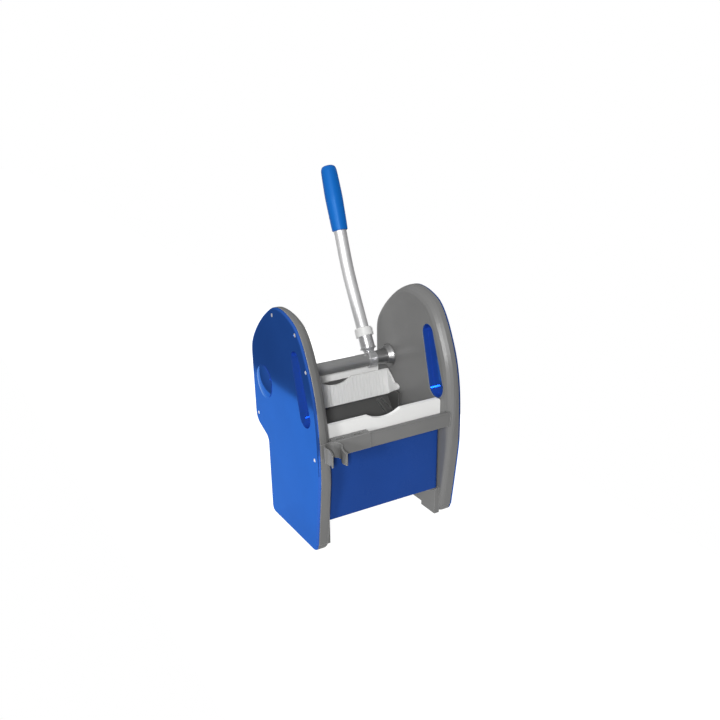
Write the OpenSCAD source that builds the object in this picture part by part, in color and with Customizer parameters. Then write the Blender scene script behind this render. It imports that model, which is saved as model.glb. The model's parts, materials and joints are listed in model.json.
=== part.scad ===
// Mop wringer with two hollow side casings, a pivoting press jaw and a hand lever.
// X runs across the wringer, -Y is the front, +Z is up.
// The origin is on the floor, under the middle of the overall depth.

/* [Side casings] */
// Width over both side covers
body_w = 300; // [280:2:320]
// Thickness of one side casing with its cover
side_t = 28; // [27:0.5:34]
// Height of the side casings
panel_h = 428.5; // [420:0.5:440]
// Reach of the belly of the casing in front of the feet's middle
belly_y = 116; // [112:0.5:120]
// Reach of the foot in front of the feet's middle
foot_front = 95.5; // [90:0.5:99]
// Reach of the foot behind the feet's middle
foot_rear = 91; // [88:0.5:96]
// Reach of the upper rear edge behind the feet's middle
rear_y = 142; // [138:0.5:150]
// Height of the inner corner of the rear step
step_z = 157; // [148:1:160]
// Rise of the rear step to its outer corner
step_rise = 22.5; // [18:0.5:27]
// Wall of the gray inner casings
wall_t = 3; // [2.5:0.1:3.2]
// Depth from the casing's outline to the cavity's outline
rim_wall = 5; // [4:0.2:6]
// Radius of the rounded inner rim at the foot and the rear
rim_r = 10; // [8:0.5:12]
// Radius of the rounded inner rim at the top front
rim_top_r = 20; // [14:0.5:20]
// Radius of the bottom corners
corner_r = 13; // [12.5:0.5:18]
// Thickness of the blue outer covers
cover_t = 4; // [4:0.2:5]
// Radius of the cover's outer edge
cover_r = 3.8; // [2:0.2:3.8]
// Radius of the dome over the shaft end
dome_r = 31; // [27:0.5:36]
// Height of the dome above the cover
dome_h = 6; // [4:0.5:9]
// Thickness of the inner foot pads
foot_pad = 10; // [6:0.5:12]

/* [Hand slots] */
// Radius of the narrow upper end
slot_top_r = 14.5; // [12:0.5:16]
// Radius of the wide lower end
slot_low_r = 19.5; // [17:0.5:21]
// Distance of the upper end in front of the feet's middle
slot_top_y = 42; // [38:1:46]
// Drop of the upper end below the casing's top
slot_top_drop = 74.5; // [70:0.5:82]
// Distance of the lower end in front of the feet's middle
slot_low_y = 72; // [68:1:76]
// Drop of the lower end below the casing's top
slot_low_drop = 169.5; // [163:0.5:174]
// Wall of the slot's tub
slot_wall = 2.5; // [1.5:0.1:3.5]

/* [Drive] */
// Outer diameter of the drive shaft
shaft_d = 25; // [22:0.5:28]
// Distance of the shaft behind the feet's middle
shaft_y = 91; // [88:0.5:94]
// Height of the shaft
shaft_z = 272; // [268:0.5:276]
// Wall of the drive shaft tube
shaft_wall = 3; // [2:0.2:4]
// Distance of the jaw axle behind the feet's middle
jaw_y = 24; // [22:0.5:26]
// Height of the jaw axle
jaw_z = 110; // [107:0.5:112]
// Diameter of the jaw axle
axle_d = 16; // [12:0.5:20]
// Tooth size as a gear module
gear_module = 3; // [2.9:0.05:3.1]
// Width of the gears
gear_w = 12; // [8:0.5:14]
// Diameter of the idler pins
idler_pin_d = 12; // [8:0.5:16]
// Full travel of the lever in degrees
lever_travel = 115; // [90:1:120]

/* [Press jaw] */
// Gap between the ribbed plate's ends and the casings
jaw_side_gap = 1; // [0.5:0.1:2]
// Thickness of the ribbed plate without ribs
jaw_plate_t = 5; // [4:0.5:7]
// Height of the ribs
rib_h = 1.2; // [0.8:0.1:2]
// Spacing of the ribs
rib_pitch = 7.5; // [5:0.5:12]
// Height of the ribbed plate along its slope
jaw_plate_h = 51; // [46:0.5:54]
// Lean of the plate to the rear in degrees
jaw_lean = 10.5; // [9:0.5:12]
// Distance of the plate's lower front edge behind the feet's middle
jaw_face_y = 81; // [78:0.5:84]
// Height of the plate's lower edge
jaw_face_z = 194.5; // [191:0.5:197]
// Thickness of the carrier's cheeks
cheek_t = 5; // [4:0.5:6]
// Thickness of the carrier's web
web_t = 4; // [3:0.5:5]
// Half length of the handle scoops in the plates
scoop_half = 34; // [28:1:40]
// Depth of the handle scoops
scoop_depth = 10; // [7:0.5:13]

/* [Front and rear] */
// Distance of the front plate's face in front of the feet's middle
front_face_y = 88; // [85:0.5:90]
// Height of the front plate's top edge
front_plate_z = 241; // [236:0.5:246]
// Thickness of the front plate
front_plate_t = 8; // [6:0.5:9]
// Height of the blue front panel's lower edge
panel_low_z = 55; // [48:1:62]
// Height of the blue front panel's upper edge
panel_top_z = 205; // [200:1:212]
// Thickness of the blue front panel
panel_t = 3; // [2:0.2:4]
// Height of the crossbar's lower edge
bar_z = 193.5; // [190:0.5:197]
// Height of the crossbar section
bar_h = 28; // [24:0.5:32]
// Depth of the crossbar section
bar_d = 10; // [8:0.5:14]
// Top of the gray back wall
back_top_z = 226; // [220:1:232]
// Height of the white rear plate
rear_plate_h = 24; // [16:1:30]
// Thickness of the white rear plate
rear_plate_t = 4; // [3:0.5:6]
// Number of slots along the drain grid
grid_slots = 9; // [5:1:11]

/* [Mop handle clip] */
// Inner diameter of the clip
clip_d = 27.2; // [24:0.2:30]
// Wall of the clip
clip_t = 2.6; // [2:0.1:3.2]
// Height of the clip
clip_h = 28; // [22:0.5:29]
// Reach of the two arms in front of the clip's middle
arm_reach = 35.4; // [32:0.2:38]
// Turn of the clip's mouth to the left in degrees
clip_turn = 12; // [0:1:20]
// Distance of the clip's middle left of the wringer's middle
clip_x = 129.5; // [126:0.5:133]
// Length of the saddle that hooks over the crossbar
saddle_l = 97; // [80:1:104]
// Thickness of the saddle
saddle_t = 3; // [2:0.2:4]

/* [Lever] */
// Distance of the lever right of the wringer's middle
lever_x = 80; // [70:1:84]
// Lean of the lever to the rear at rest in degrees
lever_lean = 28.5; // [24:0.5:32]
// Bend of the lever tube in degrees
lever_bend = 8.5; // [4:0.5:14]
// Length of the lever up to its bend
lower_len = 145; // [130:1:160]
// Length of the bend along the tube
bend_len = 70; // [50:1:90]
// Length of the lever above its bend
upper_len = 167; // [150:1:190]
// Outer diameter of the lever tube
tube_d = 25; // [22:0.5:28]
// Wall of the lever tube
tube_wall = 2; // [1.5:0.1:3]
// Length of the grip
grip_len = 126; // [110:1:140]
// Diameter of the grip at its top
grip_top_d = 31; // [30:0.5:33]
// Diameter of the grip at its middle
grip_mid_d = 34.6; // [33:0.2:37]
// Diameter of the grip at its lower end
grip_low_d = 31; // [30:0.5:33]
// Outer diameter of the tee's barrel
tee_d = 32; // [31:0.5:34]
// Length of the tee's barrel
tee_len = 17; // [15:0.5:17.5]
// Outer diameter of the lever socket
socket_d = 28.5; // [28:0.5:31]
// Distance from the shaft's middle to the socket's lip
socket_start = 20; // [18:0.5:23]
// Distance from the shaft's middle to the socket's top
socket_end = 46; // [42:0.5:50]
// Outer diameter of the collar
collar_d = 35; // [32:0.5:38]
// Length of the collar
collar_len = 17; // [12:0.5:20]

/* [Clearances] */
// Gap between pieces that only lie beside each other
lie_gap = 0.3; // [0.2:0.05:0.5]
// Radial clearance of turning fits
run_fit = 0.05; // [0.02:0.01:0.09]
// Sideways play between meshed teeth
backlash = 0.3; // [0.2:0.05:0.5]
// Extra distance between the middles of meshed gears
mesh_gap = 0.15; // [0.1:0.05:0.3]

/* [Hidden] */
$fn = 48;

// Colours of the materials
BLUE = [0.12, 0.35, 0.75];
GRAY = [0.47, 0.47, 0.48];
WHITE = [0.93, 0.93, 0.91];
STEEL = [0.68, 0.69, 0.71];
ALLOY = [0.80, 0.81, 0.82];
NYLON = [0.86, 0.83, 0.74];

// Planes across the wringer, given for the right side
outer_x = body_w / 2;
cover_x = outer_x - cover_t;
inner_x = outer_x - side_t;
cavity_x = inner_x + wall_t;
gear_mid_x = (cavity_x + cover_x) / 2;
gear_x = gear_mid_x - gear_w / 2;

// Heights of the hand slot's two ends
slot_top_z = panel_h - slot_top_drop;
slot_low_z = panel_h - slot_low_drop;

// Places of the drive in the side view, as [y, z]
shaft_p = [shaft_y, shaft_z];
jaw_p = [jaw_y, jaw_z];
pinion_teeth = 18;
idler_teeth = 32;
sector_teeth = 40;
upper_dist = gear_module * (pinion_teeth + idler_teeth) / 2 + mesh_gap;
lower_dist = gear_module * (idler_teeth + sector_teeth) / 2 + mesh_gap;
shaft_from_jaw = shaft_p - jaw_p;
span = norm(shaft_from_jaw);
span_angle = atan2(shaft_from_jaw.y, shaft_from_jaw.x);
idler_angle = span_angle + acos((lower_dist ^ 2 + span ^ 2 - upper_dist ^ 2) / (2 * lower_dist * span));
idler_p = jaw_p + lower_dist * [cos(idler_angle), sin(idler_angle)];
jaw_travel = lever_travel * pinion_teeth / sector_teeth;

// Angles at which the gears hold a tooth, so that they are in mesh at rest
to_idler = atan2(idler_p.y - shaft_p.y, idler_p.x - shaft_p.x);
to_jaw = idler_angle + 180;
idler_phase = to_idler + 180 + 180 / idler_teeth;
sector_phase = to_jaw + 180 + 180 / sector_teeth
    - (idler_phase - to_jaw) * idler_teeth / sector_teeth;
sector_margin = 7;
sector_hub_r = 20;

// Crossbar and clip places
bar_front = belly_y + 0.4;
bar_back = bar_front - bar_d;
bar_top = bar_z + bar_h;
bar_lap = 1.3;
bar_seat = 6;
tongue_t = 5.5;
saddle_front = bar_front + saddle_t;
saddle_top = bar_top + lie_gap + saddle_t;
saddle_left = outer_x - 4;
clip_y = bar_front + clip_d / 2 + clip_t;
clip_r = clip_d / 2;
arm_x = 0.832 * (clip_r + clip_t / 2);
arm_tip_r = 1.6;

// Jaw geometry: the plate's own frame starts at its lower front edge
jaw_up = [sin(jaw_lean), cos(jaw_lean)];
jaw_back = [cos(jaw_lean), -sin(jaw_lean)];
jaw_low = [jaw_face_y, jaw_face_z];
wing_out = inner_x - jaw_side_gap;
wing_t = 4.5;
cheek_out = wing_out - 0.6;
cheek_in = cheek_out - cheek_t;
web_start = jaw_plate_t + lie_gap;
boss_r = axle_d / 2 + 6;

// Half of the grip's outline from its lower end, as [radius, height]
grip_knots = let (low = grip_low_d / 2, mid = grip_mid_d / 2, top = grip_top_d / 2)
    [[low, 1.5], [low + 0.6, grip_len * 0.11], [mid - 0.4, grip_len * 0.36], [mid, grip_len * 0.52],
    [mid - 0.6, grip_len * 0.7], [top + 0.3, grip_len - 15], [top - 0.6, grip_len - 7],
    [top - 3.2, grip_len - 2], [top - 7, grip_len]];
grip_shape = concat([[grip_low_d / 2 - 1.5, 0]], curve(grip_knots, 3), [[grip_top_d / 2 - 7, grip_len]]);

// Lever lengths and the overall depth
bend_r = bend_len * 180 / (PI * lever_bend);
upper_lean = lever_lean - lever_bend;
grip_cap = 3;
bend_end = [bend_r * (1 - cos(lever_bend)), lower_len + bend_r * sin(lever_bend)];
grip_start = upper_len + grip_cap - grip_len;
bend_reach = lower_len * sin(lever_lean) + bend_r * (cos(upper_lean) - cos(lever_lean));
rear_reach = shaft_y + bend_reach
    + max([for (g = grip_shape) (grip_start + g.y) * sin(upper_lean) + g.x * cos(upper_lean)]);
front_reach = clip_y + arm_reach * cos(clip_turn) + arm_x * sin(clip_turn) + arm_tip_r;
mid_y = (rear_reach - front_reach) / 2;

// Cover screws of one side, as [y, z]
screw_places = [[42, panel_h - 17.5], [-belly_y + 70.5, panel_h - 30.3], [-belly_y + 35.8, panel_h - 85.6],
    [rear_y - 14, step_z + step_rise + 17], [-belly_y + 15.2, bar_z - 4]];
screw_d = 3.5;
screw_head_d = 6.5;
screw_head_h = 2;
screw_len = 16;
boss_post_r = 5;

// A Catmull-Rom curve through the knots, with some steps between each pair
function knot(k, i) = k[max(0, min(len(k) - 1, i))];
function curve_at(a, b, c, d, t) = 0.5 * (2 * b + (c - a) * t + (2 * a - 5 * b + 4 * c - d) * t ^ 2
    + (3 * b - a - 3 * c + d) * t ^ 3);
function curve(k, steps) = [for (i = [0 : len(k) - 2]) for (s = [0 : steps - 1])
    curve_at(knot(k, i - 1), k[i], k[i + 1], knot(k, i + 2), s / steps)];
function arc(middle, r, from, to, steps) = [for (i = [0 : steps])
    let (a = from + (to - from) * i / steps) middle + r * [cos(a), sin(a)]];

// The rounded rear step, from its foot corner up to the rear edge, moved in by some depth
step_lean = atan2(step_rise, rear_y - foot_rear);
step_low_r = 14;
step_high_r = 26;
function step_path(depth) = let (turn = 90 - step_lean,
    low = [foot_rear, step_z], high = [rear_y, step_z + step_rise],
    low_c = low + [step_low_r, -step_low_r * tan(turn / 2)],
    high_c = high + [-step_high_r, step_high_r * tan(turn / 2)])
    concat(arc(low_c, step_low_r + depth, 180, 180 - turn, 6),
        arc(high_c, step_high_r - depth, -turn, 0, 7));

// The front and top edge of a casing, from the foot's front up to the rear edge
edge_knots = [[-foot_front - 2, corner_r + 2], [-belly_y + 13, 53], [-belly_y + 5.8, 106],
    [-belly_y + 0.6, 150], [-belly_y, 178], [-belly_y + 1.6, 232], [-belly_y + 6.7, panel_h - 152.5],
    [-belly_y + 16.4, panel_h - 113], [-belly_y + 31.6, panel_h - 76.5], [-belly_y + 51, panel_h - 41],
    [-belly_y + 73.5, panel_h - 16.5], [-10.5, panel_h - 3.5], [17, panel_h], [38, panel_h - 3],
    [57.5, panel_h - 12], [83, panel_h - 29], [rear_y - 39, panel_h - 46], [rear_y - 24, panel_h - 61],
    [rear_y - 10.5, panel_h - 78], [rear_y - 2, panel_h - 94], [rear_y + 1, panel_h - 111.5],
    [rear_y + 1, panel_h - 131.5], [rear_y, step_z + step_rise + 20]];
casing_edge = concat(
    arc([foot_rear - corner_r, corner_r], corner_r, -90, 0, 5), step_path(0),
    [for (i = [len(curve(edge_knots, 4)) - 2 : -1 : 0]) curve(edge_knots, 4)[i]],
    arc([-foot_front + corner_r, corner_r], corner_r, 180, 270, 5));

// The same outline moved in along its normals, by one depth or by a depth for each point
function unit(v) = v / norm(v);
function at(v, i) = is_list(v) ? v[i] : v;
function moved_in(points, depth) = let (n = len(points)) [for (i = [0 : n - 1])
    let (t = unit(unit(points[(i + 1) % n] - points[i]) + unit(points[i] - points[(i + n - 1) % n])))
    points[i] + at(depth, i) * [-t.y, t.x]];

// Radius of the inner rim at each point of the outline
function share(v) = max(0, min(1, v));
rim_radii = [for (p = casing_edge)
    rim_r + (rim_top_r - rim_r) * share((p.y - 140) / 150) * share((70 - p.x) / 50)];

// Moves a finished piece from the feet's middle to the origin
module placed() {
    translate([0, -mid_y, 0]) children();
}

// Extrudes a side view, drawn as [y, z], across the wringer
module across(x, width) {
    translate([x, 0, 0]) rotate([90, 0, 90]) linear_extrude(width) children();
}

// A round bar or hole across the wringer at a side view place
module cross_round(p, r, x, width) {
    translate([x, p.x, p.y]) rotate([0, 90, 0]) cylinder(h = width, r = r);
}

// Makes a left piece from a right one
module to_left() {
    mirror([1, 0, 0]) children();
}

// A closed skin over rings of side view points, each with its place or places across the wringer.
// The flat end faces are drawn round a point that sees all of the outline.
skin_middle = [-10, 200];
module ring_skin(rings, places) {
    n = len(rings[0]);
    last = len(rings) - 1;
    ends = [for (k = [0, last]) [at(places[k], 0), skin_middle.x, skin_middle.y]];
    points = [for (k = [0 : last]) for (i = [0 : n - 1]) [at(places[k], i), rings[k][i].x, rings[k][i].y]];
    low_end = len(points);
    faces = [for (i = [0 : n - 1]) let (j = (i + 1) % n)
        each concat([[low_end, i, j], [low_end + 1, last * n + j, last * n + i]],
            [for (k = [0 : last - 1]) each [[k * n + i, (k + 1) * n + i, (k + 1) * n + j],
                [k * n + i, (k + 1) * n + j, k * n + j]]])];
    polyhedron(concat(points, ends), faces);
}

// Flat shape of a hand slot, grown by some amount
module slot_shape(grow) {
    hull() {
        translate([-slot_top_y, slot_top_z]) circle(slot_top_r + grow);
        translate([-slot_low_y, slot_low_z]) circle(slot_low_r + grow);
    }
}

// A side view place on the ribbed plate, up its face and behind it
function on_jaw(up, back) = jaw_low + up * jaw_up + back * jaw_back;

// Involute gear outline with teeth all round
function roll(r, base) = r <= base ? 0 : sqrt((r / base) ^ 2 - 1) * 180 / PI - acos(base / r);
function gear_points(teeth, phase) = let (pitch_r = gear_module * teeth / 2,
    base = pitch_r * cos(20), tip = pitch_r + gear_module, root = pitch_r - 1.25 * gear_module,
    half = 90 / teeth - backlash / (4 * pitch_r) * 180 / PI, r0 = max(root + 0.4, base),
    radii = [for (i = [0 : 3]) r0 + (tip - r0) * i / 3])
    [for (k = [0 : teeth - 1]) let (mid = phase + 360 * k / teeth)
        each concat(
            [root * [cos(mid - half - roll(pitch_r, base)), sin(mid - half - roll(pitch_r, base))]],
            [for (r = radii) let (a = mid - half - roll(pitch_r, base) + roll(r, base)) r * [cos(a), sin(a)]],
            [for (i = [3 : -1 : 0]) let (r = radii[i], a = mid + half + roll(pitch_r, base) - roll(r, base))
                r * [cos(a), sin(a)]],
            [root * [cos(mid + half + roll(pitch_r, base)), sin(mid + half + roll(pitch_r, base))]])];

module spur_gear(p, teeth, phase, bore_r) {
    difference() {
        across(gear_x, gear_w) translate(p) polygon(gear_points(teeth, phase));
        cross_round(p, bore_r, gear_x - 1, gear_w + 2);
    }
}

// Outside of a casing, with its rounded inner rim and a small chamfer at the cover
module casing_skin() {
    angles = [0, 18, 36, 54, 72, 90];
    seam = 1.2;
    rings = concat([for (a = angles) moved_in(casing_edge, rim_radii * (1 - sin(a)))],
        [casing_edge, moved_in(casing_edge, seam)]);
    places = concat([for (a = angles) [for (r = rim_radii) inner_x + r * (1 - cos(a))]],
        [cover_x - seam, cover_x]);
    ring_skin(rings, places);
}

// Hollow of a casing, rounded like its outside
module casing_hollow() {
    angles = [0, 30, 60, 90];
    rings = concat([for (a = angles)
        moved_in(casing_edge, [for (r = rim_radii) rim_wall + (r - rim_wall) * (1 - sin(a))])],
        [moved_in(casing_edge, rim_wall)]);
    places = concat([for (a = angles) [for (r = rim_radii) cavity_x + (r - wall_t) * (1 - cos(a))]],
        [cover_x + 1]);
    ring_skin(rings, places);
}

// Gray moulded casing of the right side, open towards its cover
module inner_casing(foot_start) {
    boss_x = cavity_x - 1;
    boss_h = gear_x - lie_gap - boss_x;
    difference() {
        union() {
            difference() {
                casing_skin();
                difference() {
                    casing_hollow();
                    for (p = screw_places) cross_round(p, boss_post_r, boss_x, side_t);
                    cross_round(shaft_p, shaft_d / 2 + 8, boss_x, boss_h);
                    cross_round(jaw_p, boss_r, boss_x, boss_h);
                    cross_round(idler_p, idler_pin_d / 2 + 4, boss_x, boss_h);
                    translate([boss_x, -bar_front - 1, bar_z])
                        cube([inner_x + bar_seat + 2 - boss_x, bar_d + 4, bar_h]);
                }
            }
            casing_foot(foot_start);
        }
        for (p = screw_places)
            cross_round(p, screw_d / 2, cover_x - screw_len + screw_head_h - 1, screw_len);
        cross_round(shaft_p, shaft_d / 2 + 3.5, inner_x - 1, side_t);
        cross_round(jaw_p, axle_d / 2 + 3, inner_x - foot_pad, side_t);
        cross_round(idler_p, idler_pin_d / 2, inner_x + 1.5, side_t);
        across(inner_x - 1, wall_t + 5) slot_shape(slot_wall + lie_gap);
        translate([inner_x - 1, -bar_front - 5, bar_z - lie_gap])
            cube([bar_lap + 1 + lie_gap, bar_d + 5 + lie_gap, bar_h + 2 * lie_gap]);
        translate([inner_x - 1, -bar_back - tongue_t - lie_gap, bar_z + 3 - lie_gap])
            cube([bar_seat + 1, tongue_t + 2 * lie_gap, bar_h - 6 + 2 * lie_gap]);
        bar_screw_holes();
    }
}

// Thickened foot inside the casing's lower front, with a raised rear part and a small gusset
module casing_foot(front) {
    step_y = -foot_front + 49;
    rear_end = foot_rear - 27;
    raise = 8;
    top = panel_low_z - lie_gap;
    pad_x = inner_x - foot_pad;
    translate([pad_x, front, 0]) cube([foot_pad + 1, step_y - front, top]);
    translate([pad_x, step_y - 1, raise]) cube([foot_pad + 1, rear_end - step_y + 1, top - raise]);
    translate([0, front + 10, 0]) rotate([90, 0, 0]) linear_extrude(4)
        polygon([[pad_x + 1, top], [pad_x - 18, top], [pad_x - 16, top - 2], [pad_x + 1, top - 6]]);
}

// Holes for the two screws that hold one end of the crossbar
bar_screw_z = [bar_z + 7, bar_z + bar_h - 7];
bar_screw_y = -bar_back - tongue_t / 2;
bar_screw_d = 3.6;
module bar_screw_holes() {
    for (z = bar_screw_z) cross_round([bar_screw_y, z], bar_screw_d / 2, inner_x + bar_seat - 1, side_t);
    for (z = bar_screw_z) cross_round([bar_screw_y, z], bar_screw_d, inner_x + bar_seat + 2, side_t);
}

// Blue cover of the right side, with a dome over the shaft end and the hand slot's tub
module outer_cover() {
    angles = [0, 22.5, 45, 67.5, 90];
    rings = concat([casing_edge], [for (a = angles) moved_in(casing_edge, cover_r * (1 - cos(a)))]);
    places = concat([cover_x], [for (a = angles) outer_x - cover_r * (1 - sin(a))]);
    floor_x = outer_x - 14;
    dome_step = 1;
    dome_rise = dome_h - dome_step;
    dome_ball = (dome_r ^ 2 + dome_rise ^ 2) / (2 * dome_rise);
    lip_h = 3.5;
    difference() {
        union() {
            ring_skin(rings, places);
            intersection() {
                translate([outer_x + dome_h - dome_ball, shaft_y, shaft_z]) sphere(dome_ball, $fn = 96);
                cross_round(shaft_p, dome_r, outer_x - 1, dome_h + 2);
            }
            across(inner_x + 1, outer_x - inner_x - 2) slot_shape(slot_wall);
            difference() {
                across(cover_x - lip_h, lip_h + 1) polygon(moved_in(casing_edge, rim_wall + lie_gap));
                across(cover_x - lip_h - 1, lip_h + 1)
                    polygon(moved_in(casing_edge, rim_wall + lie_gap + 2.5));
                for (p = screw_places)
                    cross_round(p, boss_post_r + lie_gap, cover_x - lip_h - 1, lip_h + 1);
            }
            cross_round(idler_p, idler_pin_d / 2 + 4, gear_x + gear_w + lie_gap,
                cover_x - gear_x - gear_w);
        }
        across(floor_x, side_t) slot_shape(0);
        across(0, floor_x - slot_wall) slot_shape(0);
        cross_round(shaft_p, dome_r - 9, cover_x - 1, cover_t + 2.5);
        cross_round(jaw_p, axle_d / 2 + 4, cover_x - 1, 2.5);
        cross_round(idler_p, idler_pin_d / 2, gear_x, cover_x + 1.5 - gear_x);
        for (p = screw_places) {
            cross_round(p, screw_d / 2 + 0.2, cover_x - 1, cover_t + 2);
            cross_round(p, screw_head_d / 2 + 0.3, outer_x - screw_head_h, cover_t);
        }
    }
}

// Pan head screws along X, seated at the cover's screw places
module cover_screws() {
    for (p = screw_places) {
        cross_round(p, screw_head_d / 2, outer_x - screw_head_h, screw_head_h - 0.3);
        cross_round(p, screw_d / 2, outer_x - screw_len, screw_len - screw_head_h + 0.1);
    }
}

module left_inner_casing() {
    color(GRAY) placed() to_left() inner_casing(-foot_front + 17.5);
}

module right_inner_casing() {
    color(GRAY) placed() inner_casing(-foot_front + 4);
}

module left_outer_cover() {
    color(BLUE) placed() to_left() outer_cover();
}

module right_outer_cover() {
    color(BLUE) placed() outer_cover();
}

module left_cover_screws() {
    color(STEEL) placed() to_left() cover_screws();
}

module right_cover_screws() {
    color(STEEL) placed() cover_screws();
}

// Gray bar across the front, with a tongue at each end that is seated in a casing
module front_crossbar() {
    edge_r = 2.5;
    end_x = inner_x + bar_lap;
    tongue_x = inner_x + bar_seat - lie_gap;
    color(GRAY) placed() difference() {
        union() {
            translate([-end_x, 0, 0]) rotate([90, 0, 90]) linear_extrude(2 * end_x)
                translate([-bar_front, bar_z]) round_rect(bar_d, bar_h, edge_r);
            translate([-tongue_x, -bar_back - tongue_t, bar_z + 3])
                cube([2 * tongue_x, tongue_t - 0.2, bar_h - 6]);
        }
        for (side = [-1, 1]) for (z = bar_screw_z)
            translate([side * (tongue_x - 14), bar_screw_y, z]) rotate([0, side * 90, 0])
                cylinder(h = 20, r = bar_screw_d / 2);
    }
}

// Rectangle with round corners, from its lower left corner
module round_rect(w, h, r) {
    translate([r, 0]) square([w - 2 * r, h]);
    translate([0, r]) square([w, h - 2 * r]);
    for (x = [r, w - r]) for (y = [r, h - r]) translate([x, y]) circle(r);
}

module crossbar_screws() {
    head_x = inner_x + bar_seat + 2;
    color(STEEL) placed() for (side = [-1, 1]) for (z = bar_screw_z)
        translate([side * head_x, bar_screw_y, z]) rotate([0, side * 90, 0]) {
            cylinder(h = 2.5, r = bar_screw_d - 0.5);
            translate([0, 0, -16]) cylinder(h = 16.1, r = bar_screw_d / 2);
        }
}

// Saddle over the crossbar with the spring clip for the mop's handle
module mop_handle_clip() {
    lip = 9;
    inner_end = saddle_left - saddle_l;
    bar_end = inner_x - 1;
    low_z = bar_z + 2.5;
    slot_l = 17;
    color(GRAY) placed() difference() {
        union() {
            translate([-saddle_left, -saddle_front, low_z]) cube([saddle_l, saddle_t, saddle_top - low_z]);
            translate([-bar_end, -saddle_front, bar_top + lie_gap])
                cube([bar_end - inner_end, saddle_t + bar_d + lie_gap + saddle_t, saddle_t]);
            translate([-bar_end, -bar_back + lie_gap, saddle_top - saddle_t - lip])
                cube([bar_end - inner_end, saddle_t, lip + saddle_t]);
            translate([-clip_x, -clip_y, saddle_top - clip_h]) rotate([0, 0, -clip_turn]) spring_clip();
        }
        translate([-clip_x, -clip_y, saddle_top - clip_h - 1]) cylinder(h = clip_h + 2, r = clip_r);
        for (x = [inner_end + 12, inner_end + 47])
            translate([-x - slot_l, -bar_front + 1, bar_top - 1]) cube([slot_l, bar_d - 3, 10]);
    }
}

// Open ring with two springy arms whose lower edges rise to their tips
module spring_clip() {
    ring_r = clip_r + clip_t;
    mouth = 2 * 0.745 * (clip_r + clip_t / 2);
    difference() {
        union() {
            difference() {
                cylinder(h = clip_h, r = ring_r);
                translate([-mouth / 2, -ring_r - 1, -1]) cube([mouth, ring_r + 1, clip_h + 2]);
            }
            for (side = [-1, 1]) clip_arm(side);
        }
        translate([-30, 0, 0]) rotate([90, 0, 90]) linear_extrude(60)
            polygon([[-3.2, -1], [-3.2 - 1.2 * arm_reach, 8], [-3.2 - 1.2 * arm_reach, -1]]);
    }
}

module clip_arm(side) {
    r = clip_r + clip_t / 2;
    knots = [[0.94 * r, -0.342 * r], [arm_x, -0.55 * r], [0.752 * r, -0.94 * r],
        [0.712 * r, -0.62 * arm_reach], [0.752 * r, -0.848 * arm_reach], [arm_x, -arm_reach]];
    line = [for (p = concat(curve(knots, 4), [knots[5]])) [side * p.x, p.y]];
    linear_extrude(clip_h) polygon(strip(line, clip_t));
    translate([side * arm_x, -arm_reach, 0]) cylinder(h = clip_h, r = arm_tip_r);
}

// Outline of a strip of some thickness along a line of places
function strip(line, t) = let (n = len(line), sides = [for (i = [0 : n - 1])
    let (d = unit(knot(line, i + 1) - knot(line, i - 1))) [-d.y, d.x]])
    concat([for (i = [0 : n - 1]) line[i] + t / 2 * sides[i]],
        [for (i = [n - 1 : -1 : 0]) line[i] - t / 2 * sides[i]]);

// White plate behind the crossbar with the scoop for the mop's handle
plate_end_x = inner_x - 0.5;
module front_press_plate() {
    low_z = panel_top_z + lie_gap;
    corner = 6;
    color(WHITE) placed() difference() {
        union() {
            translate([-plate_end_x, -front_face_y, low_z])
                cube([2 * plate_end_x, front_plate_t, front_plate_z - low_z - corner]);
            translate([-plate_end_x + corner, -front_face_y, low_z])
                cube([2 * (plate_end_x - corner), front_plate_t, front_plate_z - low_z]);
            for (side = [-1, 1])
                translate([side * (plate_end_x - corner), -front_face_y, front_plate_z - corner])
                    rotate([-90, 0, 0]) cylinder(h = front_plate_t, r = corner);
        }
        translate([0, -front_face_y - 1, front_plate_z]) scoop_cut(front_plate_t + 2);
        front_plate_holes();
    }
}

// Round cut for the mop's handle, its middle at a plate's top edge
module scoop_cut(depth) {
    r = (scoop_half ^ 2 + scoop_depth ^ 2) / (2 * scoop_depth);
    translate([0, 0, r - scoop_depth]) rotate([-90, 0, 0]) cylinder(h = depth, r = r, $fn = 120);
}

// Holes for the front plate's screws, one near each end and hidden by the crossbar
plate_screw = [inner_x - 12, panel_top_z + 3.6];
module front_plate_holes() {
    for (side = [-1, 1]) translate([side * plate_screw.x, -front_face_y - 1, plate_screw.y])
        rotate([-90, 0, 0]) cylinder(h = 6, r = 1.5);
}

module front_plate_screws() {
    color(STEEL) placed() for (side = [-1, 1])
        translate([side * plate_screw.x, -front_face_y, plate_screw.y]) rotate([-90, 0, 0]) {
            cylinder(h = 4.5, r = 1.5);
            translate([0, 0, -1.8]) cylinder(h = 1.8, r = 2.6);
        }
}

// Blue panel between the casings, its side edges turned back
module front_panel() {
    half = inner_x - lie_gap;
    edge_r = 8;
    depth = 12;
    color(BLUE) placed() translate([0, 0, panel_low_z]) linear_extrude(panel_top_z - panel_low_z)
        difference() {
            intersection() {
                translate([-half, -front_face_y]) round_rect(2 * half, 2 * depth, edge_r);
                translate([-half, -front_face_y]) square([2 * half, depth]);
            }
            translate([-half + panel_t, -front_face_y + panel_t])
                round_rect(2 * (half - panel_t), 2 * depth, edge_r - panel_t);
        }
}

// Gray wall that follows the rear step, with ribs down its ramp
back_in = rim_wall + 2.5;
module back_wall() {
    half = inner_x - lie_gap;
    path = concat([[foot_rear - back_in, panel_low_z + 7]], step_path(back_in),
        [[rear_y - back_in, back_top_z]]);
    thick = concat([[foot_rear - back_in - wall_t, panel_low_z + 7]], step_path(back_in + wall_t),
        [[rear_y - back_in - wall_t, back_top_z]]);
    n = len(path);
    color(GRAY) placed() across(-half, 2 * half)
        polygon(concat(path, [for (i = [n - 1 : -1 : 0]) thick[i]]));
}

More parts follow.
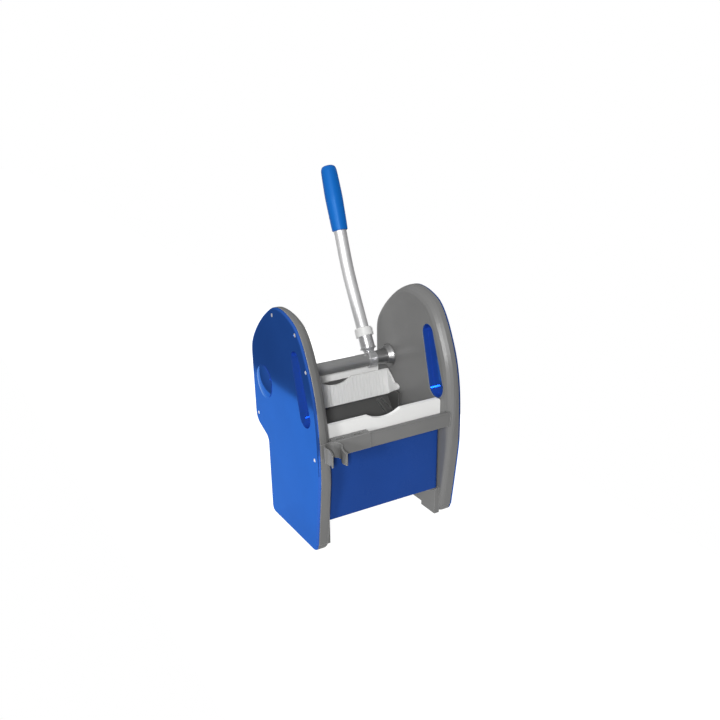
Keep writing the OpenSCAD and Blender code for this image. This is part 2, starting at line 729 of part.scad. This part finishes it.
module rear_plate() {
    color(WHITE) placed() translate([-inner_x + lie_gap, rear_y - back_in - rear_plate_t, back_top_z])
        cube([2 * (inner_x - lie_gap), rear_plate_t, rear_plate_h]);
}

// Sloping grid that lets the water out under the mop
grid_t = 4;
grid_low = [jaw_y - boss_r - 8, jaw_z - 28];
grid_high = [-front_face_y + 14.8, jaw_z + 42];
module drain_grid() {
    half = inner_x - lie_gap;
    slope = atan2(grid_high.y - grid_low.y, grid_low.x - grid_high.x);
    run = norm(grid_high - grid_low);
    pitch = 2 * (half - 14) / grid_slots;
    color(GRAY) placed() translate([0, grid_high.x, grid_high.y]) rotate([-slope, 0, 0])
        difference() {
            union() {
                translate([-half, 0, -grid_t]) cube([2 * half, run, grid_t]);
                for (k = [0 : grid_slots]) translate([-half + 14 + k * pitch - 1.5, 4, -1])
                    cube([3, run - 8, 5]);
            }
            for (k = [0 : grid_slots - 1]) for (y = [10, run / 2 + 4])
                translate([-half + 14 + (k + 0.5) * pitch - pitch * 0.28, y, -grid_t - 1])
                    cube([pitch * 0.56, run / 2 - 14, grid_t + 2]);
        }
}

// Bearing pressed into the casing wall, with a flared flange and a cone that reaches up to the tee
module shaft_bearing() {
    bore = shaft_d / 2 + run_fit;
    flange_r = 23.5;
    cone_end = inner_x - lever_x - tee_len / 2 - 0.5;
    translate([inner_x, shaft_y, shaft_z]) rotate([0, -90, 0]) rotate_extrude($fn = 72)
        polygon([[bore, cone_end], [bore, -wall_t - 2], [shaft_d / 2 + 3.5, -wall_t - 2],
            [shaft_d / 2 + 3.5, 0], [flange_r, 0], [flange_r, 1.2], [flange_r - 0.6, 1.8],
            [flange_r - 3.2, 5.6], [flange_r - 3.9, 5.6], [flange_r - 6.4, 10.2], [flange_r - 7.4, 10.6],
            [shaft_d / 2 + 3.3, 13], [shaft_d / 2 + 2.6, 19], [shaft_d / 2 + 1.2, cone_end - 3],
            [shaft_d / 2 + 0.8, cone_end]]);
}

module left_shaft_bearing() {
    color(STEEL) placed() to_left() shaft_bearing();
}

module right_shaft_bearing() {
    color(STEEL) placed() shaft_bearing();
}

// Plain bush for the jaw axle
module axle_bush() {
    bush_end = gear_x - lie_gap - inner_x;
    translate([inner_x, jaw_y, jaw_z]) rotate([0, 90, 0]) difference() {
        cylinder(h = bush_end, r = axle_d / 2 + 3);
        translate([0, 0, -1]) cylinder(h = bush_end + 2, r = axle_d / 2 + run_fit);
    }
}

module left_axle_bush() {
    color(NYLON) placed() to_left() axle_bush();
}

module right_axle_bush() {
    color(NYLON) placed() axle_bush();
}

// Pin on which the idler turns, held by the casing and the cover
module idler_pin() {
    cross_round(idler_p, idler_pin_d / 2, inner_x + 1.5, cover_x + 1.5 - inner_x - 1.5);
}

module left_idler_pin() {
    color(STEEL) placed() to_left() idler_pin();
}

module right_idler_pin() {
    color(STEEL) placed() idler_pin();
}

// Tube across the wringer that the lever turns
shaft_end_x = cover_x - 1;
module drive_shaft() {
    plug = 14;
    color(STEEL) placed() difference() {
        cross_round(shaft_p, shaft_d / 2, -shaft_end_x, 2 * shaft_end_x);
        cross_round(shaft_p, shaft_d / 2 - shaft_wall, -shaft_end_x + plug, 2 * (shaft_end_x - plug));
        for (x = [-shaft_end_x - 1, shaft_end_x - plug - 1]) cross_round(shaft_p, 3, x, plug + 2);
        translate([lever_x, shaft_y, shaft_z]) rotate([tee_screw_turn - lever_lean, 0, 0])
            cylinder(h = shaft_d, r = tee_screw_r);
    }
}

module left_drive_gear() {
    color(NYLON) placed() to_left() spur_gear(shaft_p, pinion_teeth, to_idler, shaft_d / 2);
}

module right_drive_gear() {
    color(NYLON) placed() spur_gear(shaft_p, pinion_teeth, to_idler, shaft_d / 2);
}

// Washer and screw in each end of the shaft, under the domes
module shaft_end_screws() {
    color(STEEL) placed() for (side = [-1, 1]) translate([side * shaft_end_x, shaft_y, shaft_z])
        rotate([0, side * 90, 0]) {
            cylinder(h = 1.5, r = shaft_d / 2 + 3);
            translate([0, 0, 1.4]) cylinder(h = 3, r = 5);
            translate([0, 0, -12]) cylinder(h = 12.1, r = 3);
        }
}

// Moves a lever piece, drawn upright from the shaft's middle, to its rest lean
module on_lever() {
    placed() translate([lever_x, shaft_y, shaft_z]) rotate([-lever_lean, 0, 0]) children();
}

// Cast tee clamped round the shaft, with a flared neck and a plug for the socket
tee_screw_r = 2.5;
tee_screw_turn = 102;
module lever_tee() {
    half = tee_len / 2;
    r = tee_d / 2;
    neck_r = 8;
    neck_start = 12;
    plug_r = socket_d / 2 - 4 - run_fit;
    color(ALLOY) on_lever() difference() {
        union() {
            rotate([0, 90, 0]) rotate_extrude() polygon([[0, -half], [r - 1, -half], [r, -half + 1],
                [r, half - 1], [r - 1, half], [0, half]]);
            cylinder(h = socket_start, r = neck_r);
            translate([0, 0, neck_start])
                cylinder(h = socket_start - neck_start - lie_gap, r1 = neck_r, r2 = socket_d / 2 - 1.5);
            translate([0, 0, socket_start - 1]) cylinder(h = 3, r = 11.5);
            translate([0, 0, socket_start + 1]) cylinder(h = 9, r = plug_r);
        }
        translate([-tee_len, 0, 0]) rotate([0, 90, 0]) cylinder(h = 2 * tee_len, r = shaft_d / 2);
        rotate([tee_screw_turn, 0, 0]) cylinder(h = tee_d, r = tee_screw_r);
    }
}

// Grub screw with a hexagon socket through the front of the tee into the shaft
module tee_set_screw() {
    start = shaft_d / 2 - shaft_wall;
    color(STEEL) on_lever() rotate([tee_screw_turn, 0, 0]) difference() {
        translate([0, 0, start]) cylinder(h = tee_d / 2 + 0.8 - start, r = tee_screw_r);
        translate([0, 0, tee_d / 2 - 1.5]) cylinder(h = 4, r = 1.3, $fn = 6);
    }
}

// Aluminium socket with a rolled lip at its lower end
module lever_socket() {
    r = socket_d / 2;
    color(ALLOY) on_lever() rotate_extrude()
        polygon([[11.7, socket_start + 2.2], [11.7, socket_start], [r + 0.8, socket_start],
            [r + 2, socket_start + 1.2], [r + 2, socket_start + 2.2], [r + 0.3, socket_start + 3.6],
            [r, socket_end], [tube_d / 2 + run_fit, socket_end], [tube_d / 2 + run_fit, socket_start + 8],
            [11.7, socket_start + 8]]);
}

// White collar that closes the socket round the tube
module lever_collar() {
    r = collar_d / 2;
    top = socket_end + collar_len;
    color(WHITE) on_lever() difference() {
        union() {
            translate([0, 0, socket_end]) cylinder(h = collar_len - 2, r = r);
            translate([0, 0, top - 2]) cylinder(h = 2, r1 = r, r2 = r - 1.5);
            translate([r - 4, -3.5, socket_end + 2]) cube([6.5, 7, collar_len - 5]);
        }
        translate([0, 0, socket_end - 1]) cylinder(h = collar_len + 2, r = tube_d / 2 + run_fit);
    }
}

// Draws a round section along the bent line of the lever.
// The bend is a hair thicker than the straight runs, and these reach a little into it.
module bent_rod(r, from, to) {
    seam = 0.03;
    reach = 0.5;
    translate([0, 0, from]) cylinder(h = lower_len - from + reach, r = r);
    translate([0, -bend_r, lower_len]) rotate([90, 0, 90]) rotate_extrude(angle = lever_bend, $fn = 360)
        translate([bend_r, 0]) circle(r + seam, $fn = 48);
    above_bend() translate([0, 0, -reach]) cylinder(h = to + reach, r = r);
}

module above_bend() {
    translate([0, -bend_end.x, bend_end.y]) rotate([lever_bend, 0, 0]) children();
}

module lever_tube() {
    color(ALLOY) on_lever() difference() {
        bent_rod(tube_d / 2, socket_start + 8 + lie_gap, upper_len);
        bent_rod(tube_d / 2 - tube_wall, socket_start + 6, upper_len + 1);
    }
}

// Blue grip over the lever's end
module lever_grip() {
    r = tube_d / 2;
    color(BLUE) on_lever() above_bend() translate([0, 0, grip_start]) rotate_extrude()
        polygon(concat([[r, 0]], grip_shape,
            [[0, grip_len], [0, grip_len - grip_cap], [r, grip_len - grip_cap]]));
}

module left_idler_gear() {
    color(NYLON) placed() to_left() spur_gear(idler_p, idler_teeth, idler_phase, idler_pin_d / 2 + run_fit);
}

module right_idler_gear() {
    color(NYLON) placed() spur_gear(idler_p, idler_teeth, idler_phase, idler_pin_d / 2 + run_fit);
}

// Steel axle that carries the jaw and the two sector gears
axle_end_x = gear_x + gear_w + 3;
module jaw_axle() {
    color(STEEL) placed() cross_round(jaw_p, axle_d / 2, -axle_end_x, 2 * axle_end_x);
}

// Toothed sector on the jaw axle
module jaw_gear() {
    tip = gear_module * (sector_teeth / 2 + 1);
    from = to_jaw - 180 - jaw_travel - sector_margin;
    to = to_jaw - 180 + sector_margin + 2;
    intersection() {
        spur_gear(jaw_p, sector_teeth, sector_phase, axle_d / 2);
        union() {
            cross_round(jaw_p, sector_hub_r, gear_x - 1, gear_w + 2);
            across(gear_x - 1, gear_w + 2) translate(jaw_p)
                polygon(concat([[0, 0]], arc([0, 0], 1.2 * tip, from, to, 6)));
        }
    }
}

module left_jaw_gear() {
    color(NYLON) placed() to_left() jaw_gear();
}

module right_jaw_gear() {
    color(NYLON) placed() jaw_gear();
}

// Retaining rings outside the sector gears
module jaw_gear_clips() {
    color(STEEL) placed() for (side = [-1, 1])
        translate([side * (gear_mid_x + gear_w / 2), jaw_y, jaw_z]) rotate([0, side * 90, 0]) difference() {
            cylinder(h = 1.5, r = axle_d / 2 + 3);
            translate([0, 0, -1]) cylinder(h = 4, r = axle_d / 2);
        }
}

// Gray carrier: two cheeks, a web behind the plate and a hub round the axle
module jaw_carrier() {
    front_y = jaw_face_y - 37.5;
    mid_web = web_start + web_t / 2;
    web_half = cheek_out - lie_gap;
    cheek = [[front_y, jaw_face_z + 13], [front_y, jaw_z + 50], jaw_p + [-2, boss_r - 3],
        jaw_p + [boss_r * 0.9, 0], on_jaw(-30, mid_web), on_jaw(-2, mid_web), on_jaw(-2, 0.2),
        jaw_low + [-7.9, 4.9], jaw_low + [-19.2, 10.8], jaw_low + [-24, 13]];
    color(GRAY) placed() difference() {
        union() {
            for (x = [-cheek_out, cheek_in]) {
                across(x, cheek_t) polygon(cheek);
                cross_round(jaw_p, boss_r, x, cheek_t);
            }
            across(-web_half, 2 * web_half) carrier_web();
            cross_round(jaw_p, boss_r - 1, -cheek_in - 1, 2 * cheek_in + 2);
            for (side = [-1, 1]) {
                web_rib(side, cheek_in - 27.5, 16, 62);
                web_rib(side, cheek_in - 18, 30, 32);
            }
        }
        cross_round(jaw_p, axle_d / 2, -inner_x, 2 * inner_x);
        jaw_screw_holes();
    }
}

// Side view of the web: behind the plate, then down to the axle
web_knee = on_jaw(-6, web_start);
web_foot = jaw_p + [4, boss_r - 4];
module carrier_web() {
    fall = unit(web_foot - web_knee);
    side = web_t * [-fall.y, fall.x];
    polygon([on_jaw(jaw_plate_h - 3, web_start), web_knee, web_foot, web_foot + side,
        on_jaw(-8, web_start + web_t), on_jaw(jaw_plate_h - 3, web_start + web_t)]);
}

// Stiffening rib on the front of the web, slanting outwards as it goes down
module web_rib(side, x, slant, length) {
    fall = web_foot - web_knee;
    lean = atan2(fall.x, fall.y) + 180;
    translate([side * x, web_knee.x, web_knee.y]) rotate([-lean, 0, 0])
        rotate([0, -side * slant, 0]) translate([-1.25, -4, -length]) cube([2.5, 5, length - 2]);
}

// White plate with upright ribs, a scoop and a wing at each end
module jaw_plate() {
    half = wing_out - wing_t + 1;
    rib_count = floor((half - 8) / rib_pitch);
    color(WHITE) placed() difference() {
        union() {
            translate([0, jaw_low.x, jaw_low.y]) rotate([-jaw_lean, 0, 0]) {
                translate([0, jaw_plate_t, 0]) rotate([90, 0, 0]) linear_extrude(jaw_plate_t)
                    translate([-half, 0]) square([2 * half, jaw_plate_h]);
                for (k = [-rib_count : rib_count]) translate([k * rib_pitch - 1, -rib_h, 1])
                    cube([2, rib_h + 1, jaw_plate_h - 3]);
            }
            for (x = [-wing_out, wing_out - wing_t]) across(x, wing_t) jaw_wing();
        }
        translate([0, jaw_low.x, jaw_low.y]) rotate([-jaw_lean, 0, 0])
            translate([0, -5, jaw_plate_h]) scoop_cut(jaw_plate_t + 10);
        jaw_screw_holes();
    }
}

// Side view of a wing: down from the plate's top corner to a small lug over the cheek
module jaw_wing() {
    back = jaw_plate_t - 0.4;
    lug = [[-17, 27.5], [-23.5, 28.3], [-29, 26.7], [-31.6, 24.6], [-32.3, 22.2], [-30.5, 18],
        [-18.7, 11.5], [-7.6, 5.6]];
    polygon(concat([on_jaw(jaw_plate_h - 0.6, back), on_jaw(jaw_plate_h - 0.6, 0.4)],
        [for (p = lug) jaw_low + p], [on_jaw(0.5, 0.4), on_jaw(0.5, back)]));
}

// Screws that hold the plate to the web
jaw_screw_x = [-85, 85];
module jaw_screw_holes() {
    for (x = jaw_screw_x) translate([x, jaw_low.x, jaw_low.y]) rotate([-jaw_lean, 0, 0])
        translate([0, 2, jaw_plate_h * 0.6]) rotate([-90, 0, 0]) cylinder(h = 20, r = 2);
}

module jaw_plate_screws() {
    color(STEEL) placed() for (x = jaw_screw_x) translate([x, jaw_low.x, jaw_low.y]) rotate([-jaw_lean, 0, 0])
        translate([0, 2, jaw_plate_h * 0.6]) rotate([-90, 0, 0]) {
            cylinder(h = web_start + web_t - 1.9, r = 2);
            translate([0, 0, web_start + web_t - 2]) cylinder(h = 2.2, r = 4);
        }
}

left_inner_casing();
right_inner_casing();
left_outer_cover();
right_outer_cover();
left_cover_screws();
right_cover_screws();
front_crossbar();
crossbar_screws();
mop_handle_clip();
front_press_plate();
front_plate_screws();
front_panel();
back_wall();
rear_plate();
drain_grid();
left_shaft_bearing();
right_shaft_bearing();
left_axle_bush();
right_axle_bush();
left_idler_pin();
right_idler_pin();
drive_shaft();
left_drive_gear();
right_drive_gear();
shaft_end_screws();
lever_tee();
tee_set_screw();
lever_socket();
lever_collar();
lever_tube();
lever_grip();
left_idler_gear();
right_idler_gear();
jaw_axle();
left_jaw_gear();
right_jaw_gear();
jaw_gear_clips();
jaw_carrier();
jaw_plate();
jaw_plate_screws();
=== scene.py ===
import json
import math

import bpy
from mathutils import Matrix, Vector

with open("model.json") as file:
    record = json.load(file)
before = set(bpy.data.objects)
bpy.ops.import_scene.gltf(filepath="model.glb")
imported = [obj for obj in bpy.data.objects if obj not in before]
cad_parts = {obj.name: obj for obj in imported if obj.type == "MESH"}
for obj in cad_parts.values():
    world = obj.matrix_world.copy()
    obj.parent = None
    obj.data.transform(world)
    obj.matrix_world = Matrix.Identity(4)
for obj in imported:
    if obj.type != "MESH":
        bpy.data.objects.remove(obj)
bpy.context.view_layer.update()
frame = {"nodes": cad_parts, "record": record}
scene = bpy.context.scene
nodes = frame["nodes"]

WHITE = (1.0, 1.0, 1.0)

# Lean of the resting lever's tube from upright, so that its streaks run along it
LEVER_LEAN = math.radians(-25)

# Tint of the sheen on blue plastic
SHEEN = (0.3, 0.6, 1.0)

# The part of a noise that is spread over its full range, and the coarseness of its fine layers
NOISE_LOW = 0.3
NOISE_HIGH = 0.7
NOISE_ROUGHNESS = 0.55

# Sizes of the noises, in waves per metre
CLOUDS = 9.0
SPECKS = 420.0
WORN_PATCHES = 26.0
SMUDGES = 38.0
FLOOR_CLOUDS = 3.0

# Moulded plastic; an edge counts as flat or sharp by how far the rounded normal leaves the true one.
# Sharp edges are painted paler: partly edge wear, partly a painted highlight.
EDGE_RADIUS = 0.0009
EDGE_SAMPLES = 4
EDGE_FLAT = 0.995
EDGE_SHARP = 0.86
EDGE_WEAR_AND_HIGHLIGHT_PALENESS = 0.45
SPECK_LOW = 0.35
SPECK_HIGH = 0.65
SPECK_DEPTH = 0.02
WORN_SWING = 0.14
PLASTIC_IOR = 1.47
PLASTIC_BUMP = 0.35

# Metal
STREAK_SHADES = (0.9, 1.06)
STREAK_ROUGHNESS = (0.85, 1.2)
SMUDGE_LOW = 0.35
SMUDGE_SHARE = 0.25
SMUDGE_SHADE = 0.78
SMUDGE_ROUGHNESS = 0.05
METAL_BUMP = 0.3
CAST_GRAIN = (260.0, 260.0, 260.0)


# Materials

class Shader:
    """Builds one procedural material, node by node."""

    def __init__(self, name):
        self.material = bpy.data.materials.new(name)
        self.material.use_nodes = True
        self.tree = self.material.node_tree
        self.bsdf = self.tree.nodes["Principled BSDF"]
        self.place = self.tree.nodes.new("ShaderNodeTexCoord").outputs["Object"]

    def feed(self, socket, value):
        """Links a socket to another one, or sets its value."""
        if isinstance(value, bpy.types.NodeSocket):
            self.tree.links.new(value, socket)
        else:
            socket.default_value = value

    def set(self, **inputs):
        for key, value in inputs.items():
            self.feed(self.bsdf.inputs[key.replace("_", " ")], value)

    def stretched(self, scale, turn):
        """Coordinates that are scaled and turned, for streaks."""
        made = self.tree.nodes.new("ShaderNodeMapping")
        made.inputs["Scale"].default_value = scale
        made.inputs["Rotation"].default_value = turn
        self.tree.links.new(self.place, made.inputs["Vector"])
        return made.outputs["Vector"]

    def noise(self, scale, detail, vector=None):
        made = self.tree.nodes.new("ShaderNodeTexNoise")
        made.inputs["Scale"].default_value = scale
        made.inputs["Detail"].default_value = detail
        made.inputs["Roughness"].default_value = NOISE_ROUGHNESS
        self.tree.links.new(vector or self.place, made.inputs["Vector"])
        return made.outputs["Fac"]

    def remap(self, value, to_low=0.0, to_high=1.0, low=NOISE_LOW, high=NOISE_HIGH):
        """Spreads the values from low to high over a new range."""
        made = self.tree.nodes.new("ShaderNodeMapRange")
        made.inputs["From Min"].default_value = low
        made.inputs["From Max"].default_value = high
        made.inputs["To Min"].default_value = to_low
        made.inputs["To Max"].default_value = to_high
        self.tree.links.new(value, made.inputs["Value"])
        return made.outputs["Result"]

    def combined(self, operation, first, second):
        made = self.tree.nodes.new("ShaderNodeMath")
        made.operation = operation
        for socket, value in zip(made.inputs, (first, second)):
            self.feed(socket, value)
        return made.outputs["Value"]

    def mix(self, factor, first, second):
        """Mixes two colours."""
        made = self.tree.nodes.new("ShaderNodeMix")
        made.data_type = "RGBA"
        sockets = {socket.identifier: socket for socket in made.inputs}
        self.feed(sockets["Factor_Float"], factor)
        self.feed(sockets["A_Color"], first)
        self.feed(sockets["B_Color"], second)
        return next(socket for socket in made.outputs if socket.identifier == "Result_Color")

    def edges(self):
        """Near 1 on sharp outer edges and 0 on flat faces."""
        bevel = self.tree.nodes.new("ShaderNodeBevel")
        bevel.samples = EDGE_SAMPLES
        bevel.inputs["Radius"].default_value = EDGE_RADIUS
        geometry = self.tree.nodes.new("ShaderNodeNewGeometry")
        dot = self.tree.nodes.new("ShaderNodeVectorMath")
        dot.operation = "DOT_PRODUCT"
        self.tree.links.new(bevel.outputs["Normal"], dot.inputs[0])
        self.tree.links.new(geometry.outputs["Normal"], dot.inputs[1])
        return self.remap(dot.outputs["Value"], low=EDGE_FLAT, high=EDGE_SHARP)

    def bump(self, height, strength, distance):
        made = self.tree.nodes.new("ShaderNodeBump")
        made.inputs["Strength"].default_value = strength
        made.inputs["Distance"].default_value = distance
        self.tree.links.new(height, made.inputs["Height"])
        self.set(Normal=made.outputs["Normal"])


def color(rgb):
    return (*rgb, 1.0)


def scaled(rgb, factor):
    return tuple(min(1.0, c * factor) for c in rgb)


def moulded(name, rgb, roughness, grain=900.0, relief=0.00005, edge_wear_and_highlight_share=0.35, spread=0.06,
            gloss=0.5, tint=WHITE, pearl=0.0):
    """Injection-moulded plastic: clouded colour, fine grain, and sharp edges painted paler, partly as
    wear and partly as a painted highlight.
    """
    shader = Shader(name)
    cloud = shader.remap(shader.noise(CLOUDS, 4.0))
    base = shader.mix(cloud, color(scaled(rgb, 1.0 - spread)), color(scaled(rgb, 1.0 + spread)))
    speck = shader.remap(shader.noise(SPECKS, 2.0), -SPECK_DEPTH, SPECK_DEPTH, SPECK_LOW, SPECK_HIGH)
    # Painted highlight: sharp edges are mixed towards a paler colour, partly for wear and partly for
    # light catching them
    edge_wear_and_highlight = shader.combined("MULTIPLY", shader.edges(), edge_wear_and_highlight_share)
    pale = tuple(c + (1.0 - c) * EDGE_WEAR_AND_HIGHLIGHT_PALENESS for c in rgb)
    shader.set(Base_Color=shader.mix(edge_wear_and_highlight, base, color(pale)))
    swing = (roughness * (1.0 - WORN_SWING), roughness * (1.0 + WORN_SWING))
    worn = shader.remap(shader.noise(WORN_PATCHES, 5.0), *swing)
    shader.set(Roughness=shader.combined("ADD", worn, speck))
    shader.bump(shader.noise(grain, 2.0), PLASTIC_BUMP, relief)
    shader.set(IOR=PLASTIC_IOR, Specular_IOR_Level=gloss, Specular_Tint=color(tint), Metallic=pearl)
    return shader.material


def metal(name, rgb, roughness, streaks=(900.0, 900.0, 12.0), turn=(0, 0, 0), relief=0.00003,
          metallic=1.0):
    """Drawn or cast metal: streaked colour and roughness, with faint smudges."""
    shader = Shader(name)
    grain = shader.noise(1.0, 3.0, shader.stretched(streaks, turn))
    smudge = shader.remap(shader.noise(SMUDGES, 4.0), low=SMUDGE_LOW)
    base = shader.mix(shader.remap(grain), *(color(scaled(rgb, shade)) for shade in STREAK_SHADES))
    smudged = shader.combined("MULTIPLY", smudge, SMUDGE_SHARE)
    base = shader.mix(smudged, base, color(scaled(rgb, SMUDGE_SHADE)))
    shader.set(Base_Color=base, Metallic=metallic)
    rough = shader.remap(grain, *(roughness * share for share in STREAK_ROUGHNESS))
    dulled = shader.combined("MULTIPLY", smudge, SMUDGE_ROUGHNESS)
    shader.set(Roughness=shader.combined("ADD", rough, dulled))
    shader.bump(grain, METAL_BUMP, relief)
    return shader.material


blue_shell = moulded("gloss_blue_plastic", (0.028, 0.106, 0.44), 0.09, grain=160.0,
                     relief=0.00001, edge_wear_and_highlight_share=0.1, gloss=0.06, tint=SHEEN, pearl=0.62)
blue_panel = moulded("satin_blue_plastic", (0.013, 0.053, 0.25), 0.3, grain=500.0,
                     edge_wear_and_highlight_share=0.15, gloss=0.12, tint=SHEEN)
dark_gray = moulded("dark_gray_plastic", (0.068, 0.068, 0.066), 0.45, edge_wear_and_highlight_share=0.4)
# A paler copy of the white plastic: painted light for the rear plate, which sits in shade
painted_lit_white = moulded("painted_lit_white_plastic", (0.95, 0.95, 0.94), 0.42, edge_wear_and_highlight_share=0.1, spread=0.02)
cast_alloy = metal("cast_alloy", (0.66, 0.66, 0.67), 0.3, streaks=CAST_GRAIN, metallic=0.8)

# One look for each material slot of the record
looks = {
    "blue_shell": blue_shell,
    "blue_grip": moulded("satin_blue_grip", (0.005, 0.105, 0.4), 0.36, grain=700.0,
                         relief=0.00008, edge_wear_and_highlight_share=0.1, gloss=0.3, tint=SHEEN),
    "gray_shell": moulded("satin_gray_plastic", (0.138, 0.138, 0.136), 0.34,
                          relief=0.00003, edge_wear_and_highlight_share=0.6),
    "white_plate": moulded("satin_white_plastic", (0.72, 0.72, 0.71), 0.42,
                           edge_wear_and_highlight_share=0.1, spread=0.02),
    "bright_alloy": metal("satin_drawn_alloy", (0.66, 0.66, 0.665), 0.44,
                          turn=(LEVER_LEAN, 0, 0), metallic=0.6),
    "gray_tube": metal("dull_gray_tube", (0.36, 0.36, 0.36), 0.46,
                       streaks=(10.0, 700.0, 700.0), metallic=0.74),
    "bearing_metal": metal("cast_bearing_metal", (0.33, 0.33, 0.33), 0.34, streaks=CAST_GRAIN),
    "gear_nylon": moulded("gear_nylon", (0.72, 0.68, 0.58), 0.5),
    "steel": metal("plated_steel", (0.88, 0.88, 0.89), 0.3,
                   streaks=(500.0, 500.0, 500.0), metallic=0.6),
}

# Pieces that look different from the rest of their slot
own_looks = {
    "front_panel": blue_panel,
    "jaw_carrier": dark_gray,
    # Painted light: the rear plate gets the paler copy of the white plastic
    "rear_plate": painted_lit_white,
    "lever_tee": cast_alloy,
    "lever_socket": cast_alloy,
}
slots = {part["node"]: part["material_slot"] for part in frame["record"]["subparts"]}
for name, node in nodes.items():
    node.data.materials.clear()
    node.data.materials.append(own_looks.get(name, looks[slots[name]]))


# Floor, light and camera

PHOTO_PX = 720.0
SENSOR_MM = 36.0
FLOOR_GLOW = 0.9
FLOOR_TONES = (0.3, 0.32)
DARKEST_SKY = 0.03
LIGHT_DISTANCE = 3.0

# Middle of the feet in the part's frame
feet_y = -0.043645
LIGHTS_AIM = Vector((0.0, feet_y, 0.2))

# Name, width in metres, watts, direction from the aim, and whether glossy pieces mirror it
LIGHTS = (
    ("key_front_left", 0.2, 68.0, (-1.0, -1.6, 0.8), True),
    ("side_left", 0.45, 38.0, (-1.0, -0.62, 0.33), True),
    ("fill_right", 1.4, 58.0, (1.0, 0.3, 0.4), False),
    ("fill_rear", 1.4, 42.0, (0.0, 1.0, 0.6), False),
)


def add_floor(left, right, size):
    """A pale glowing floor that ends beside the wringer, so that the tall covers mirror its edges."""
    mesh = bpy.data.meshes.new("floor")
    corners = [(left, -size, 0), (right, -size, 0), (right, size, 0), (left, size, 0)]
    mesh.from_pydata(corners, [], [(0, 1, 2, 3)])
    floor = bpy.data.objects.new("floor", mesh)
    scene.collection.objects.link(floor)
    shader = Shader("pale_floor")
    tone = shader.remap(shader.noise(FLOOR_CLOUDS, 2.0))
    shades = [color(scaled(WHITE, shade)) for shade in FLOOR_TONES]
    shader.set(Base_Color=shader.mix(tone, *shades), Roughness=0.9)
    shader.set(Emission_Color=color(WHITE), Emission_Strength=FLOOR_GLOW, Specular_IOR_Level=0.0)
    mesh.materials.append(shader.material)
    floor.visible_diffuse = False


def add_world(level, lean):
    """White to the camera; as light it is a soft dome whose brightness grows along one direction."""
    world = bpy.data.worlds.new("studio")
    world.use_nodes = True
    tree = world.node_tree
    place = tree.nodes.new("ShaderNodeTexCoord").outputs["Generated"]
    along = tree.nodes.new("ShaderNodeVectorMath")
    along.operation = "DOT_PRODUCT"
    along.inputs[1].default_value = lean
    tree.links.new(place, along.inputs[0])
    brightness = along.outputs["Value"]
    for operation, number in (("ADD", level), ("MAXIMUM", DARKEST_SKY)):
        step = tree.nodes.new("ShaderNodeMath")
        step.operation = operation
        step.inputs[1].default_value = number
        tree.links.new(brightness, step.inputs[0])
        brightness = step.outputs["Value"]
    seen = tree.nodes.new("ShaderNodeMix")
    seen.inputs["B"].default_value = 1.0
    rays = tree.nodes.new("ShaderNodeLightPath")
    tree.links.new(rays.outputs["Is Camera Ray"], seen.inputs["Factor"])
    tree.links.new(brightness, seen.inputs["A"])
    background = tree.nodes["Background"]
    background.inputs["Color"].default_value = color(WHITE)
    tree.links.new(seen.outputs["Result"], background.inputs["Strength"])
    scene.world = world


def add_light(name, size, power, direction, mirrored):
    """A square light that faces the aim from a set distance."""
    data = bpy.data.lights.new(name, "AREA")
    data.shape = "RECTANGLE"
    data.size = data.size_y = size
    data.energy = power
    light = bpy.data.objects.new(name, data)
    light.location = LIGHTS_AIM + LIGHT_DISTANCE * Vector(direction).normalized()
    light.visible_glossy = mirrored
    light.rotation_euler = (LIGHTS_AIM - light.location).to_track_quat("-Z", "Y").to_euler()
    scene.collection.objects.link(light)


def add_camera(azimuth, elevation, roll, focal_px, distance, centre_y_px, target):
    """The photo's own camera: angles in degrees, image sizes in pixels of the photo."""
    az, el, tilt = (math.radians(angle) for angle in (azimuth, elevation, roll))
    back = Vector((math.sin(az) * math.cos(el), -math.cos(az) * math.cos(el), math.sin(el)))
    right = Vector((math.cos(az), math.sin(az), 0.0))
    up = back.cross(right)
    across = math.cos(tilt) * right + math.sin(tilt) * up
    upward = math.cos(tilt) * up - math.sin(tilt) * right
    data = bpy.data.cameras.new("camera")
    data.sensor_width = SENSOR_MM
    data.lens = focal_px / PHOTO_PX * SENSOR_MM
    data.shift_y = (centre_y_px - PHOTO_PX / 2) / PHOTO_PX
    camera = bpy.data.objects.new("camera", data)
    turn = Matrix((across, upward, back)).transposed().to_4x4()
    camera.matrix_world = Matrix.Translation(Vector(target) + distance * back) @ turn
    scene.collection.objects.link(camera)
    scene.camera = camera


add_camera(azimuth=-30.264, elevation=24.454, roll=-0.812, focal_px=839.818,
           distance=1.59323, centre_y_px=430.1, target=(0.0, feet_y, 0.1715))
add_floor(left=-0.45, right=0.45, size=6.0)
add_world(level=0.15, lean=(-0.25, 0.0, 0.5))
for light in LIGHTS:
    add_light(*light)
scene.view_settings.view_transform = "Standard"
